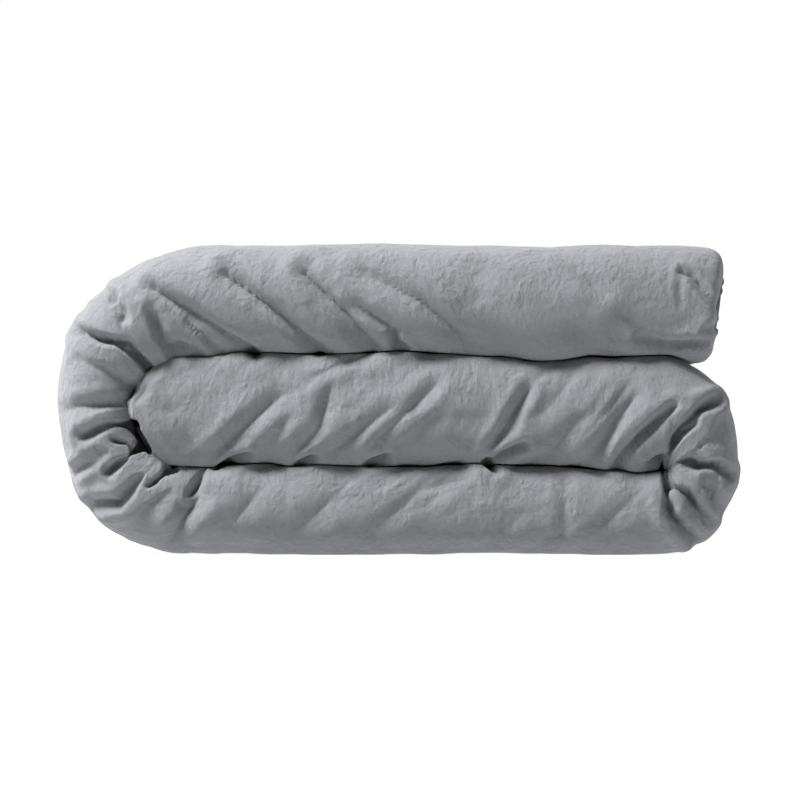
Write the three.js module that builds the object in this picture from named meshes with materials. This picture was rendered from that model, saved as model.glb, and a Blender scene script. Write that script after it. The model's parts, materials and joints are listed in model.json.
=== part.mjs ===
// A duvet in its cotton cover, put away as a pile. It is folded once across its width, so that each
// layer is two plies thick with a rounded fold at the front, and then in three along its length:
// the middle layer is the end that is folded in first, and the top layer is folded over it.
//
// Millimetres, +Z up. The origin is at the middle of the pile's footprint, on the surface it lies on.
// +X runs to the right along the pile, and -Y points out of the front, where the first fold is.
//
// A soft piece is drawn flat and then folded. A station is one line across the two plies, from the
// inside of the pile's folds to their outside. The stations run along the duvet from its head end,
// inside the pile, along the middle layer, round the right-hand fold, along the bottom layer, round
// the left-hand fold and along the top layer to the foot end. At each station a piece is a region
// between two curves, in millimetres of Y and of depth from the station's inner end.
//
// The left-hand fold is three wedges, hinged on their outer cloth, so the top layer can be opened.

import * as THREE from "three";
import { mergeVertices } from "three/addons/utils/BufferGeometryUtils.js";

// ---- Driving dimensions -----------------------------------------------------------------------

const DUVET_WIDTH = 1400; // across the open duvet, and twice the pile's depth
const PILE_LENGTH = 707; // outside the two end folds
const BOTTOM_LAYER = 90; // thickness of two plies, the lowest pressed flatter by the rest
const MIDDLE_LAYER = 115;
const TOP_LAYER = 115.5;
const LAYER_GAP = 1.5; // between layers that lie on each other
const FOOT_INSET = 13; // the top layer stops this far short of the pile's right side

const RIGHT_REACH = 84; // of the right-hand fold's round outside
const RIGHT_WALL = 76; // of its two plies, where they turn
const RIGHT_MIDDLE = 112; // height of its outermost point
const LEFT_REACH_LOWER = 147; // of the left-hand fold's round outside, below its outermost point
const LEFT_REACH_UPPER = 174; // and above it
const LEFT_MIDDLE = 166; // height of its outermost point
const LEFT_WALL = 73; // of its two plies, where they turn
const HEAD_REACH = 66; // of the middle layer's round head end
const HEAD_TIP = 24; // degrees round it at which its seam lies

const COVER_CLOTH = 2; // the cover's cotton with its creases, as one wall
const TICKING = 1.2; // the insert's own shell
const CLOTH_GAP = 0.6; // between one cloth and the next
const HAIRPIN = 3; // between the two runs of the cover's back panel
const FRONT_BULGE = 52; // depth of the rounded front fold
const SIDE_TAPER = 64; // the plies thin down to their side seams over this length
const END_TAPER = 60; // and to their foot end over this length
const END_TIP = 1.2; // how near to its end the foot end's last narrow section lies
const CUT = 0.5; // clearance where two pieces of one cloth meet

const FOOT_HEM = 14; // depth of the two hems that button together
const HEM_CLOTH = 2.6; // thickness of each
const HEAD_SEAM = 3.5; // depth of the sewn head end
const CORNER_ROOM = 24; // between the insert's end and the cover's, where its ties lie

const BUTTON_RADIUS = 5.8;
const BUTTON_THICKNESS = 2.6;
const BUTTON_DISH = 0.7; // depth of the hollow in a button's face
const BUTTONS_A_SIDE = 3; // on each side of the one at the front fold
const BUTTON_MARGIN = 100; // from the last button to the cover's side seam
const TIE_WIDTH = 8;
const TIE_LENGTH = 60;
const TIE_THICKNESS = 1.4;
const LOOP_RADIUS = 7;
const LOOP_TAPE = 1.2;
const LOOP_WIDTH = 8;
const LABEL_WIDTH = 40;
const LABEL_HEIGHT = 30;
const LABEL_THICKNESS = 0.8;
const LABEL_INSET = 60; // from the foot hem, and from the side taper

// How round each outline is: 2 is an ellipse, and more is squarer.
const ROUND = 2;
const RIGHT_LOWER_SQUARENESS = 2.3;
const LEFT_LOWER_SQUARENESS = 2.4;
const LEFT_UPPER_SQUARENESS = 2.1;
const END_SQUARENESS = 2.5;

// ---- Materials --------------------------------------------------------------------------------

const colour = (hex, roughness) => ({ color: hex, roughness, metalness: 0 });
const COVER = colour(0x8b8c91, 0.9);
const INSIDE_COVER = colour(0x85868b, 0.92);
const SHELL = colour(0xe9e7e1, 0.85);
const FILL = colour(0xf4f3ef, 1);
const BUTTON = colour(0x7c7d82, 0.35);
const TAPE = colour(0xdcdad3, 0.9);
const LABEL = colour(0xf2f1ec, 0.6);

const duvet = new THREE.Group();

function add(name, geometry, finish) {
  const mesh = new THREE.Mesh(geometry, new THREE.MeshStandardMaterial(finish));
  mesh.name = name;
  duvet.add(mesh);
  return mesh;
}

// ---- The pile's outline, seen from the front ----------------------------------------------------

const depth = DUVET_WIDTH / 2;
const front = -depth / 2;
const back = depth / 2;
const left = -PILE_LENGTH / 2;
const right = PILE_LENGTH / 2;

const middleBottom = BOTTOM_LAYER + LAYER_GAP;
const middleTop = middleBottom + MIDDLE_LAYER;
const topBottom = middleTop + LAYER_GAP;
const topTop = topBottom + TOP_LAYER;

const point = (x, z) => new THREE.Vector2(x, z);
const degrees = (...angles) => angles.map((angle) => (angle * Math.PI) / 180);
const powered = (value, power) => Math.sign(value) * Math.abs(value) ** power;

// A point of a superellipse. The angle is 0 at the tip that reachX gives, and 90 at reachZ's.
function rounded(centre, reachX, reachZ, squareness, angle) {
  const x = reachX * powered(Math.cos(angle), 2 / squareness);
  const z = reachZ * powered(Math.sin(angle), 2 / squareness);
  return point(centre.x + x, centre.y + z);
}

const station = (inner, outer, fullness = 1) => ({ inner, outer, fullness });

// How full each ply is at a distance from its own end.
function fullnessNear(end) {
  const share = THREE.MathUtils.clamp(1 - end / END_TAPER, 0, 1);
  return (1 - share ** END_SQUARENESS) ** (1 / END_SQUARENESS);
}

// The middle layer, from its round head end inside the left-hand fold.
const bendX = left + LEFT_WALL + LAYER_GAP + HEAD_REACH;
const headCentre = point(bendX, middleBottom + MIDDLE_LAYER / 2);
const headStation = (angle) => {
  const lower = rounded(headCentre, -HEAD_REACH, -MIDDLE_LAYER / 2, ROUND, angle);
  const upper = rounded(headCentre, -HEAD_REACH, MIDDLE_LAYER / 2, ROUND, angle);
  return station(lower, upper, Math.sin(angle) ** 0.5);
};
const headTip = degrees(HEAD_TIP)[0];
const headAngle = (length) => Math.acos(Math.cos(headTip) - length / HEAD_REACH);
const insertAngle = headAngle(CORNER_ROOM);
const tiedHead = headStation(headAngle(CORNER_ROOM / 2));
const insertHead = headStation(insertAngle);
const headStations = [
  headStation(headTip),
  tiedHead,
  insertHead,
  headStation((insertAngle + Math.PI / 2) / 2),
  headStation(Math.PI / 2),
];

// The right-hand fold, round the crease between the bottom and middle layers.
const rightBend = right - RIGHT_REACH;
const creaseX = right - RIGHT_WALL;
const creaseCentre = point(creaseX, BOTTOM_LAYER + LAYER_GAP / 2);
const rightCentre = point(rightBend, RIGHT_MIDDLE);
const rightStations = degrees(90, 68, 46, 23, 0, -23, -46, -68, -90).map((angle) => {
  const rises = angle >= 0;
  const reach = rises ? middleTop - RIGHT_MIDDLE : RIGHT_MIDDLE;
  const squareness = rises ? ROUND : RIGHT_LOWER_SQUARENESS;
  const inner = rounded(creaseCentre, LAYER_GAP / 2, LAYER_GAP / 2, ROUND, angle);
  return station(inner, rounded(rightCentre, RIGHT_REACH, reach, squareness, angle));
});
const middleStations = [...headStations, rightStations[0]];

// The left-hand fold, round the head end. Its wedges end at the hinge angles.
const innerCentre = point(bendX, (BOTTOM_LAYER + topBottom) / 2);
const innerReach = HEAD_REACH + LAYER_GAP;
const innerRise = (topBottom - BOTTOM_LAYER) / 2;
const lowerCentre = point(left + LEFT_REACH_LOWER, LEFT_MIDDLE);
const upperCentre = point(left + LEFT_REACH_UPPER, LEFT_MIDDLE);
const foldStation = (angle) => {
  const rises = angle > 0;
  const centre = rises ? upperCentre : lowerCentre;
  const reachX = rises ? LEFT_REACH_UPPER : LEFT_REACH_LOWER;
  const reachZ = rises ? topTop - LEFT_MIDDLE : LEFT_MIDDLE;
  const squareness = rises ? LEFT_UPPER_SQUARENESS : LEFT_LOWER_SQUARENESS;
  const inner = rounded(innerCentre, -innerReach, innerRise, ROUND, angle);
  return station(inner, rounded(centre, -reachX, reachZ, squareness, angle));
};
const lowStations = degrees(-90, -70, -50, -30).map(foldStation);
const midStations = degrees(-30, -15, 0, 15, 30).map(foldStation);
const topFoldStations = degrees(30, 50, 70, 90).map(foldStation);
const bottomStations = [rightStations.at(-1), lowStations[0]];

// The top layer, to its foot hems.
const hemX = right - FOOT_INSET - FOOT_HEM;
const footStation = (end) =>
  station(point(hemX - end, topBottom), point(hemX - end, topTop), fullnessNear(end));
const insertFoot = footStation(CORNER_ROOM);
const flapStations = [
  topFoldStations.at(-1),
  footStation(END_TAPER),
  footStation((END_TAPER + CORNER_ROOM) / 2),
  insertFoot,
  footStation(CORNER_ROOM / 2),
  footStation(END_TIP * 4),
  footStation(END_TIP),
];

// ---- Drawing a piece on its stations ------------------------------------------------------------

const BULGE_STEPS = 4;
const TAPER_STEPS = 3;
const SQUASH = 0.8; // how much shallower the front bulge gets as the plies get emptier

// One quarter of an ellipse, as points from where it leaves the straight run to its tip.
function taper(centreDepth, reachY, reachDepth) {
  return Array.from({ length: TAPER_STEPS + 1 }, (_, i) => {
    const angle = (1 - i / TAPER_STEPS) * (Math.PI / 2);
    const y = back - SIDE_TAPER + reachY * Math.cos(angle);
    return point(y, centreDepth + reachDepth * Math.sin(angle));
  });
}

// A U-shaped curve: from the inner ply's side end, round the front, to the outer ply's side end.
function turned(thickness, sideEnd, bulgeY, bulgeDepth) {
  const bulge = Array.from({ length: BULGE_STEPS + 1 }, (_, i) => {
    const angle = (i / BULGE_STEPS - 0.5) * Math.PI;
    const y = front + FRONT_BULGE - bulgeY * Math.cos(angle);
    return point(y, thickness / 2 + bulgeDepth * Math.sin(angle));
  });
  const mirrored = sideEnd.map((p) => point(p.x, thickness - p.y));
  return [...sideEnd.toReversed(), ...bulge, ...mirrored];
}

// The outside of the two plies, a given distance in. `shift` lowers the side seam to clear the back.
function faceCurve(thickness, fullness, inset, shift = 0) {
  const middle = thickness / 4 - shift;
  const emptiness = (thickness / 4) * (1 - fullness);
  const sideEnd = taper(middle, SIDE_TAPER - inset, emptiness + inset - middle);
  const bulgeY = FRONT_BULGE - SQUASH * emptiness - inset;
  return turned(thickness, sideEnd, bulgeY, thickness / 2 - emptiness - inset);
}

// The hairpin between the two plies, a given distance into the plies.
function backCurve(thickness, fullness, inset, shift = 0) {
  const middle = thickness / 4 + shift;
  const half = HAIRPIN / 2 + (thickness / 4 - HAIRPIN / 2) * (1 - fullness) + inset;
  const sideEnd = taper(middle, SIDE_TAPER - inset, thickness / 2 - half - middle);
  return turned(thickness, sideEnd, half, half);
}

// A strip of cloth parallel to the plies, a given depth into both of them.
function stripCurve(thickness, inset, side) {
  const bulgeY = FRONT_BULGE - SQUASH * inset;
  return turned(thickness, [point(front + FRONT_BULGE + 1, inset), point(side, inset)],
    bulgeY, thickness / 2 - inset);
}

function lift({ inner, outer }, { x: y, y: deep }) {
  const along = deep / inner.distanceTo(outer);
  const x = THREE.MathUtils.lerp(inner.x, outer.x, along);
  return new THREE.Vector3(x, y, THREE.MathUtils.lerp(inner.y, outer.y, along));
}

// Moves a piece's two end stations in, so that it clears the next piece of the same cloth.
function withCuts(stations) {
  const nudge = (end, next) => {
    const middle = end.inner.clone().add(end.outer);
    const step = next.inner.clone().add(next.outer).sub(middle);
    const across = end.outer.clone().sub(end.inner).normalize();
    const along = point(-across.y, across.x);
    along.multiplyScalar((Math.sign(along.dot(step)) * CUT) / 2);
    return station(end.inner.clone().add(along), end.outer.clone().add(along), end.fullness);
  };
  return [nudge(stations[0], stations[1]), ...stations.slice(1, -1),
    nudge(stations.at(-1), stations.at(-2))];
}

// The solid between two curves, swept along the stations. A closed pair of curves makes a tube.
function sweep(stations, curves, closed = false) {
  const rings = stations.map((at) => {
    const thickness = at.inner.distanceTo(at.outer);
    return curves(thickness, at.fullness).map((curve) => curve.map((p) => lift(at, p)));
  });
  const triangles = [];
  const quad = (a, b, c, d) => triangles.push(a, b, c, a, c, d);
  const count = rings[0][0].length;
  const steps = closed ? count : count - 1;
  const turnsBack = closed ? count / 2 : count; // from here a tube's points run the other way
  for (let k = 0; k + 1 < rings.length; k += 1) {
    const [[here, under], [there, below]] = [rings[k], rings[k + 1]];
    for (let j = 0; j < steps; j += 1) {
      const next = (j + 1) % count;
      if (j < turnsBack) {
        quad(here[j], here[next], there[next], there[j]);
        quad(under[j], below[j], below[next], under[next]);
      } else {
        quad(here[next], there[next], there[j], here[j]);
        quad(under[next], under[j], below[j], below[next]);
      }
    }
    if (!closed) {
      quad(here[0], there[0], below[0], under[0]);
      quad(here[steps], under[steps], below[steps], there[steps]);
    }
  }
  const cap = ([curve, other], turn) => {
    for (let j = 0; j < steps; j += 1) {
      const next = (j + 1) % count;
      const corners = [curve[j], other[j], other[next], curve[next]];
      quad(...(turn ? corners.toReversed() : corners));
    }
  };
  cap(rings[0], false);
  cap(rings.at(-1), true);
  return solid(triangles);
}

// Joins loose triangles into one body, with its faces pointing out.
function solid(corners) {
  const volume = corners.reduce((sum, corner, i) =>
    (i % 3 ? sum : sum + corner.dot(corners[i + 1].clone().cross(corners[i + 2]))), 0);
  const ordered = volume < 0 ? corners.toReversed() : corners;
  const geometry = new THREE.BufferGeometry().setFromPoints(ordered);
  return mergeVertices(geometry, 1e-4);
}

// ---- The cover and the insert -------------------------------------------------------------------

const shellInset = COVER_CLOTH + CLOTH_GAP;
const fillInset = shellInset + TICKING + CLOTH_GAP;

const faceCloth = (thickness, fullness) =>
  [0, COVER_CLOTH].map((inset) => faceCurve(thickness, fullness, inset, CLOTH_GAP / 2));
const backCloth = (thickness, fullness) =>
  [0, COVER_CLOTH].map((inset) => backCurve(thickness, fullness, inset, CLOTH_GAP / 2));
const ticking = (thickness, fullness) =>
  [shellInset, shellInset + TICKING].map((inset) => [
    ...faceCurve(thickness, fullness, inset),
    ...backCurve(thickness, fullness, inset).slice(1, -1).toReversed(),
  ]);
const filling = (thickness, fullness) =>
  [faceCurve(thickness, fullness, fillInset), backCurve(thickness, fullness, fillInset)];

// The insert stops short of the cover's two ends, where its corners are tied in.
const upToFoot = flapStations.indexOf(insertFoot) + 1;
const pieces = [
  ["middle", middleStations, middleStations.slice(middleStations.indexOf(insertHead))],
  ["right_fold", rightStations],
  ["bottom", bottomStations],
  ["left_fold_low", lowStations],
  ["left_fold_mid", midStations],
  ["left_fold_top", topFoldStations],
  ["top", flapStations, flapStations.slice(0, upToFoot)],
];
for (const [where, coverStations, insertStations = coverStations] of pieces) {
  const cover = withCuts(coverStations);
  const insert = withCuts(insertStations);
  add(`cover_face_${where}`, sweep(cover, faceCloth), COVER);
  add(`cover_back_${where}`, sweep(cover, backCloth), INSIDE_COVER);
  add(`insert_shell_${where}`, sweep(insert, ticking, true), SHELL);
  add(`insert_fill_${where}`, sweep(insert, filling), FILL);
}

// ---- The ends of the cover ----------------------------------------------------------------------

const hemStations = [0, FOOT_HEM].map((x) =>
  station(point(hemX + x, topBottom), point(hemX + x, topTop)));
const hemSide = back - COVER_CLOTH;
const hem = (from, to) => (thickness) =>
  [from, to].map((inset) => stripCurve(thickness, thickness / 4 + inset, hemSide));
add("foot_hem_face", sweep(hemStations, hem(-HEM_CLOTH - CLOTH_GAP / 2, -CLOTH_GAP / 2)), COVER);
add("foot_hem_back", sweep(hemStations, hem(CLOTH_GAP / 2, HEM_CLOTH + CLOTH_GAP / 2)),
  INSIDE_COVER);

const headStart = headStations[0];
const seamStations = [CUT + HEAD_SEAM, CUT].map((x) => {
  const aside = point(-x, 0);
  return station(headStart.inner.clone().add(aside), headStart.outer.clone().add(aside));
});
add("head_seam", sweep(seamStations, hem(-HEM_CLOTH / 2, HEM_CLOTH / 2)), COVER);

// ---- Buttons along the back hem, between the two plies ------------------------------------------

const hemFace = TOP_LAYER / 4 + CLOTH_GAP / 2 + HEM_CLOTH + CLOTH_GAP / 2;
const hemBend = FRONT_BULGE - SQUASH * hemFace;
const buttonPitch = (depth - BUTTON_MARGIN) / BUTTONS_A_SIDE;
const buttonX = hemX + FOOT_HEM / 2;

function button(name) {
  const profile = [
    point(0, 0),
    point(BUTTON_RADIUS * 0.8, 0),
    point(BUTTON_RADIUS, BUTTON_THICKNESS * 0.4),
    point(BUTTON_RADIUS, BUTTON_THICKNESS * 0.7),
    point(BUTTON_RADIUS * 0.85, BUTTON_THICKNESS),
    point(BUTTON_RADIUS * 0.6, BUTTON_THICKNESS - BUTTON_DISH),
    point(0, BUTTON_THICKNESS - BUTTON_DISH),
  ];
  const lathe = new THREE.LatheGeometry(profile, 16);
  lathe.deleteAttribute("normal");
  lathe.deleteAttribute("uv");
  return add(name, mergeVertices(lathe, 1e-4), BUTTON);
}

// A lathe's axis is +Y, so the one at the front fold already faces the right way. Its rim rests on
// the two facets that meet at the tip of the bend.
const rimRest = BUTTON_RADIUS * Math.tan(Math.PI / 2 / BULGE_STEPS);
const foldY = front + FRONT_BULGE - hemBend + rimRest;
button("button_fold").position.set(buttonX, foldY, (topBottom + topTop) / 2);
for (let i = 1; i <= BUTTONS_A_SIDE; i += 1) {
  const bendLength = (Math.PI / 2) * hemBend;
  const y = front + FRONT_BULGE + i * buttonPitch - bendLength;
  const lower = button(`button_lower_${i}`);
  lower.position.set(buttonX, y, topBottom + hemFace);
  lower.rotation.x = Math.PI / 2;
  const upper = button(`button_upper_${i}`);
  upper.position.set(buttonX, y, topTop - hemFace);
  upper.rotation.x = -Math.PI / 2;
}

// ---- Corner ties, the insert's loops that they pass through, and the label ----------------------

const tieY = back - SIDE_TAPER - TIE_LENGTH / 2;
const headRoomX = tiedHead.inner.x;
const footRoomX = insertFoot.inner.x + CORNER_ROOM / 2;
const headPly = (shift) => headCentre.y + shift * tiedHead.inner.distanceTo(tiedHead.outer);
const footPly = (shift) => (topBottom + topTop) / 2 + shift * TOP_LAYER;
const corners = [
  ["head_lower", headRoomX, headPly(-0.25)],
  ["head_upper", headRoomX, headPly(0.25)],
  ["foot_lower", footRoomX, footPly(-0.25)],
  ["foot_upper", footRoomX, footPly(0.25)],
];

const loopProfile = [
  point(LOOP_RADIUS - LOOP_TAPE, -LOOP_WIDTH / 2),
  point(LOOP_RADIUS, -LOOP_WIDTH / 2),
  point(LOOP_RADIUS, LOOP_WIDTH / 2),
  point(LOOP_RADIUS - LOOP_TAPE, LOOP_WIDTH / 2),
  point(LOOP_RADIUS - LOOP_TAPE, -LOOP_WIDTH / 2),
];
for (const [where, x, z] of corners) {
  const tie = new THREE.BoxGeometry(TIE_WIDTH, TIE_LENGTH, TIE_THICKNESS);
  add(`corner_tie_${where}`, tie, TAPE).position.set(x, tieY, z);
  add(`insert_loop_${where}`, new THREE.LatheGeometry(loopProfile, 16), TAPE).position.set(x, tieY, z);
}

const label = new THREE.BoxGeometry(LABEL_WIDTH, LABEL_HEIGHT, LABEL_THICKNESS);
add("care_label", label, LABEL).position.set(
  hemX - END_TAPER - LABEL_INSET,
  back - SIDE_TAPER - LABEL_INSET,
  (topBottom + topTop) / 2,
);

export default duvet;
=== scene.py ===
"""A duvet put away as a pile: a padded insert in a washed cotton cover, folded in half and in three.

The cover's face is one sheet of cloth. It is laid on the folded pile as a grid of threads, given the
extra cloth that bunches at the folds, settled by a small cloth solver, and cut at the hinges of the
left-hand fold. The top layer is fastened to the last hinge's body, so it can be opened, but the
pieces round the fold are baked in place and do not bend with it.
"""

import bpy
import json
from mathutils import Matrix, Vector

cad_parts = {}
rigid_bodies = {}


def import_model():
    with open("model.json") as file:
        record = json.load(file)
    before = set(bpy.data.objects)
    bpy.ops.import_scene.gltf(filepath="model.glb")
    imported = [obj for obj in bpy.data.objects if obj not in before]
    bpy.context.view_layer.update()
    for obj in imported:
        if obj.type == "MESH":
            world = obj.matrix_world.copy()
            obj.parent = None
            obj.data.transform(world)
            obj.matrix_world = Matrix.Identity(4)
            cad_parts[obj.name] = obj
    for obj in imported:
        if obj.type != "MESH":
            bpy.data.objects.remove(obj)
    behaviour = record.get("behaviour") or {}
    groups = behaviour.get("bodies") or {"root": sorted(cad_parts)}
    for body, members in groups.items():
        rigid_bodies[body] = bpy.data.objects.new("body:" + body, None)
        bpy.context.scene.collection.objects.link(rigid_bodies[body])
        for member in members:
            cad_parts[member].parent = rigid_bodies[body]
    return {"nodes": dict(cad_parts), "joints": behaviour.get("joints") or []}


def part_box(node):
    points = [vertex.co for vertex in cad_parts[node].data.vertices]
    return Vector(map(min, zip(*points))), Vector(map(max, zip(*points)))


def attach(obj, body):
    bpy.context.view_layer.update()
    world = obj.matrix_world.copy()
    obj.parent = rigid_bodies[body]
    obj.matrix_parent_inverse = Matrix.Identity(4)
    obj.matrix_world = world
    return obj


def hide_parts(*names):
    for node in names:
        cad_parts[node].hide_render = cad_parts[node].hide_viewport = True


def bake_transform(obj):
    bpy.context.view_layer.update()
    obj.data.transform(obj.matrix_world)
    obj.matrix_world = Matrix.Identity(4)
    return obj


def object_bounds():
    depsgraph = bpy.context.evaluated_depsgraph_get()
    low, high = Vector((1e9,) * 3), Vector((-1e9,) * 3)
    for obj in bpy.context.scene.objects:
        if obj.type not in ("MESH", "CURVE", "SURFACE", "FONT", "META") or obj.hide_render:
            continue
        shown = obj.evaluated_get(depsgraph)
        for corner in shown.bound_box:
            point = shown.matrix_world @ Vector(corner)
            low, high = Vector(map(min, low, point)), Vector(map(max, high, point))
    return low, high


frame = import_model()
FRAME_BOX = [list(corner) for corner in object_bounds()]

import functools
import json
import math

import bmesh
import bpy
import numpy as np
from bpy.props import FloatProperty, FloatVectorProperty, IntProperty, PointerProperty
from mathutils import Matrix, Vector

bl_info = {
    "name": "Folded duvet",
    "version": (1, 0, 0),
    "blender": (4, 5, 0),
    "location": "3D view > Sidebar > Duvet",
    "description": "Builds a folded duvet in a buttoned cotton cover",
    "category": "Object",
}

MM = 0.001

# ---- The pile's sizes, from the frame ----------------------------------------------------------

LOW, HIGH = (Vector(corner) for corner in FRAME_BOX)
FRONT, BACK, LEFT, RIGHT = LOW.y, HIGH.y, LOW.x, HIGH.x
BOTTOM_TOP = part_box("cover_face_bottom")[1].z
MIDDLE_BOTTOM, MIDDLE_TOP = (corner.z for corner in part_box("cover_face_middle"))
TOP_BOTTOM, TOP_TOP = (corner.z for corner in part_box("cover_face_top"))
HEM_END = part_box("foot_hem_face")[1].x
HINGES = [Vector(joint["pos_m"]) for joint in frame["joints"]]
BODIES = [frame["joints"][0]["parent"]] + [joint["child"] for joint in frame["joints"]]

RIGHT_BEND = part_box("cover_face_right_fold")[0].x
RIGHT_WALL = 76 * MM
RIGHT_MIDDLE = 112 * MM
LEFT_MIDDLE = 166 * MM
LEFT_WALL = 73 * MM
LEFT_SLACK = 5 * MM
HEAD_REACH = 66 * MM
HEAD_TIP = 20  # degrees round the head end at which the cloth closes
FRONT_BULGE = 52 * MM
SIDE_TAPER = 64 * MM
END_TAPER = 17 * MM
END_SET_BACK = 14 * MM
END_DROOP = 10 * MM
HAIRPIN = 3 * MM
PRESSED_SWELL = 0.13  # how much further a layer would swell, if the next one did not press on it
HINGE_MARGIN = 60 * MM  # cloth beyond the first and last hinge that belongs to their pieces
BED_DEPTH = 6 * MM  # how far the layers sink into each other at most
BED_REACH = 26 * MM  # how far above and below the sinking is felt
HIGHEST_LUMP = 4.5 * MM  # how far cloth may stand out of the padding
DEEPEST_CREASE = 27 * MM  # and how far a crease may go into it


def arc(centre, reach, squareness, angles):
    """Points of a superellipse, at angles in degrees from the tip that reach[0] gives."""
    turn = np.radians(angles)
    x = np.cos(turn).clip(0) ** (2 / squareness)
    z = np.sign(np.sin(turn)) * np.abs(np.sin(turn)) ** (2 / squareness)
    return np.stack([centre[0] + reach[0] * x, centre[1] + reach[1] * z], -1)


def run(start, end, count=40):
    """Points of a straight run."""
    return np.linspace(start, end, count)


def left_fold(angles):
    """Inner and outer points round the left-hand fold, from -90 degrees below to 90 above."""
    angles = np.asarray(angles, float)
    bend = LEFT + LEFT_WALL + HEAD_REACH + MIDDLE_BOTTOM - BOTTOM_TOP
    rise = (TOP_BOTTOM - BOTTOM_TOP) / 2
    inner = arc((bend, BOTTOM_TOP + rise), (-(bend - LEFT - LEFT_WALL), rise), 2, angles)
    reach = LEFT - LEFT_SLACK
    low = arc((HINGES[0].x, LEFT_MIDDLE), (reach - HINGES[0].x, LEFT_MIDDLE), 2.4, angles)
    high = arc((HINGES[3].x, LEFT_MIDDLE), (reach - HINGES[3].x, TOP_TOP - LEFT_MIDDLE), 2.1, angles)
    return inner, np.where(angles[:, None] > 0, high, low)


def stretches():
    """The duvet's stretches in order, each an array of stations along it.

    A station is its inner point, its outer point, how full the padding is there, and whether the
    outer side is pressed flat by what it lies on or under.
    """
    bend = LEFT + LEFT_WALL + HEAD_REACH + MIDDLE_BOTTOM - BOTTOM_TOP
    half = (MIDDLE_TOP - MIDDLE_BOTTOM) / 2
    middle_z = MIDDLE_BOTTOM + half
    crease = (RIGHT - RIGHT_WALL, (BOTTOM_TOP + MIDDLE_BOTTOM) / 2)
    gap = (MIDDLE_BOTTOM - BOTTOM_TOP) / 2

    head = np.linspace(HEAD_TIP, 90, 60)
    head_low = arc((bend, middle_z), (-HEAD_REACH, -half), 2.7, head)
    head_high = arc((bend, middle_z), (-HEAD_REACH, half), 2.7, head)
    head_full = np.sin(np.radians(head)) ** 0.6

    turn = np.linspace(90, -90, 120)
    fold_in = arc(crease, (gap, gap), 2, turn)
    rise = arc((RIGHT_BEND, RIGHT_MIDDLE), (RIGHT - RIGHT_BEND, MIDDLE_TOP - RIGHT_MIDDLE), 2.1, turn)
    fall = arc((RIGHT_BEND, RIGHT_MIDDLE), (RIGHT - RIGHT_BEND, RIGHT_MIDDLE), 2.3, turn)
    fold_out = np.where(turn[:, None] > 0, rise, fall)

    lead_in = HINGES[0].x + HINGE_MARGIN
    lead_out = HINGES[3].x + HINGE_MARGIN
    end = HEM_END - 1 * MM
    foot = np.sin(np.linspace(0, np.pi / 2, 90)) ** 0.6
    foot_x = end - END_TAPER * (1 - foot)
    foot_full = 0.05 + 0.95 * (1 - foot**3.6) ** (1 / 3.6)
    lag = 2 * MM * foot

    def stations(inner, outer, full=1.0, pressed=0.0):
        sides = [np.broadcast_to(value, len(inner)) for value in (full, pressed)]
        return np.column_stack([inner, outer, *sides])

    def arc_stations(*angles):
        return stations(*left_fold(np.linspace(*angles, 60)))

    low_side = [stations(run((lead_in, BOTTOM_TOP), (bend, BOTTOM_TOP)),
                         run((lead_in, 0), (HINGES[0].x, 0))), arc_stations(-90, -60)]
    high_side = [arc_stations(60, 90), stations(run((bend, TOP_BOTTOM), (lead_out, TOP_BOTTOM)),
                                                run((HINGES[3].x, TOP_TOP), (lead_out, TOP_TOP)))]
    return {
        "middle": np.vstack([
            stations(head_low, head_high, head_full, 1),
            stations(run((bend, MIDDLE_BOTTOM), (crease[0], MIDDLE_BOTTOM)),
                     run((bend, MIDDLE_TOP), (RIGHT_BEND, MIDDLE_TOP)), 1, 1)]),
        "right_fold": stations(fold_in, fold_out),
        "bottom": stations(run((crease[0], BOTTOM_TOP), (lead_in, BOTTOM_TOP)),
                           run((RIGHT_BEND, 0), (lead_in, 0)), 1, 1),
        "fold_1": np.vstack(low_side),
        "fold_2": arc_stations(-60, 0),
        "fold_3": arc_stations(0, 60),
        "fold_4": np.vstack(high_side),
        "top": drooped(np.vstack([
            stations(run((lead_out, TOP_BOTTOM), (end - END_TAPER, TOP_BOTTOM)),
                     run((lead_out, TOP_TOP), (end - END_TAPER, TOP_TOP))),
            stations(np.stack([foot_x - lag, foot * 0 + TOP_BOTTOM], -1),
                     np.stack([foot_x, foot * 0 + TOP_TOP], -1), foot_full)])),
    }


def drooped(rows):
    """The top layer's stations: its end sags past the layer below, with the lower edge set back."""
    share = np.clip((rows[:, 0] - RIGHT_BEND - 18 * MM) / (44 * MM), 0, 1)
    share = share * share * (3 - 2 * share)
    rows[:, 1] -= END_DROOP * share
    rows[:, 3] -= 0.35 * END_DROOP * share
    back = np.clip((rows[:, 0] - rows[-1, 0] + 100 * MM) / (100 * MM), 0, 1)
    rows[:, 0] -= END_SET_BACK * back * back * (3 - 2 * back)
    return rows


def resampled(rows, step):
    """The same stretch with its stations evenly spaced, about a step apart."""
    path = np.column_stack([(rows[:, :2] + 2 * rows[:, 2:4]) / 3, rows[:, 4] * 22 * MM])
    along = np.concatenate([[0], np.cumsum(np.linalg.norm(np.diff(path, axis=0), axis=1))])
    even = np.linspace(0, along[-1], max(2, round(along[-1] / step)) + 1)
    return np.stack([np.interp(even, along, column) for column in rows.T], -1)


def folded_rows(step):
    """All stations as one array, and the rows at which each stretch starts and ends."""
    rows, ends, names = [], [0], []
    for name, stretch in stretches().items():
        even = resampled(stretch, step)
        rows.append(even if not rows else even[1:])
        ends.append(ends[-1] + len(even) - 1)
        names.append(name)
    rows = np.vstack(rows)
    window = 2 * round(30 * MM / step) + 1
    padded = np.pad(rows[:, 5], window // 2, mode="edge")
    rows[:, 5] = np.convolve(padded, np.ones(window) / window, "valid")
    return rows, {name: (ends[i], ends[i + 1]) for i, name in enumerate(names)}


# ---- The two plies, across the duvet -----------------------------------------------------------


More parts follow.
